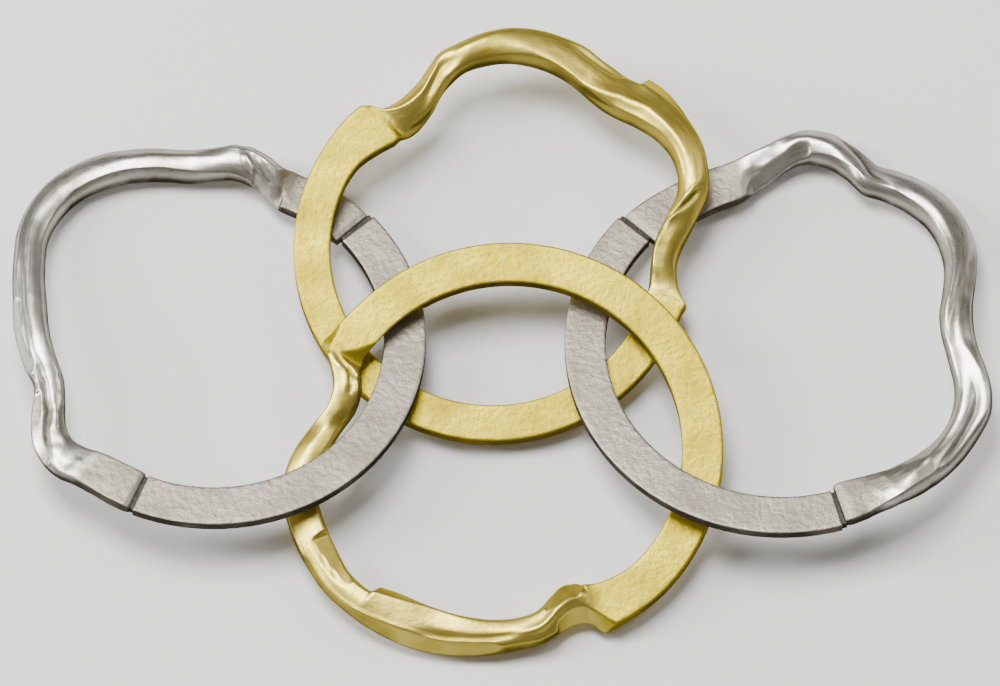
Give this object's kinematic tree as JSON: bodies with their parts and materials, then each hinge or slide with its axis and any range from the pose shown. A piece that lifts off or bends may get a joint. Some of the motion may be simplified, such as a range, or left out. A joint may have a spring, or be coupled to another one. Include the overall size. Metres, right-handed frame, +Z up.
{
  "type": "four-band puzzle ring, opened",
  "caption": "Finger puzzle ring opened out flat: linked bands of silver and gold coloured metal, each with a plain flat shank and a woven wavy front.",
  "frame": {"origin": "bottom centre of the opened ring as it lies on a table", "axes": "+X from the left silver band to the right one, +Y from the lower gold band to the upper one, +Z up from the table"},
  "size_m": [0.0538, 0.036, 0.0046],
  "materials": {
    "silver": "cast and polished silver, satin grain on the shanks and bright waves",
    "gold": "pale yellow gold, satin on the shanks and polished on the waves",
    "solder": "dark tarnished silver solder"
  },
  "bodies": {
    "silver_left": {"silver_left_shank": "silver", "silver_left_wave": "silver", "silver_left_solder_upper": "solder", "silver_left_solder_lower": "solder"},
    "silver_right": {"silver_right_shank": "silver", "silver_right_wave": "silver", "silver_right_solder_upper": "solder", "silver_right_solder_lower": "solder"},
    "gold_top": {"gold_top_band": "gold"},
    "gold_bottom": {"gold_bottom_band": "gold"}
  },
  "joints": [
    {"name": "silver_left_swing", "type": "hinge", "parent": "gold_top", "child": "silver_left", "pos_m": [-0.01578, -0.00001, 0.0022], "axis": [-1, 0, 0], "range_deg": [0, 50]},
    {"name": "silver_right_swing", "type": "hinge", "parent": "gold_top", "child": "silver_right", "pos_m": [0.01539, -0.00026, 0.00223], "axis": [-1, 0, 0], "range_deg": [0, 50]},
    {"name": "gold_bottom_swing", "type": "hinge", "parent": "gold_top", "child": "gold_bottom", "pos_m": [0.00048, -0.00651, 0.00226], "axis": [1, 0, 0], "range_deg": [0, 20]}
  ]
}
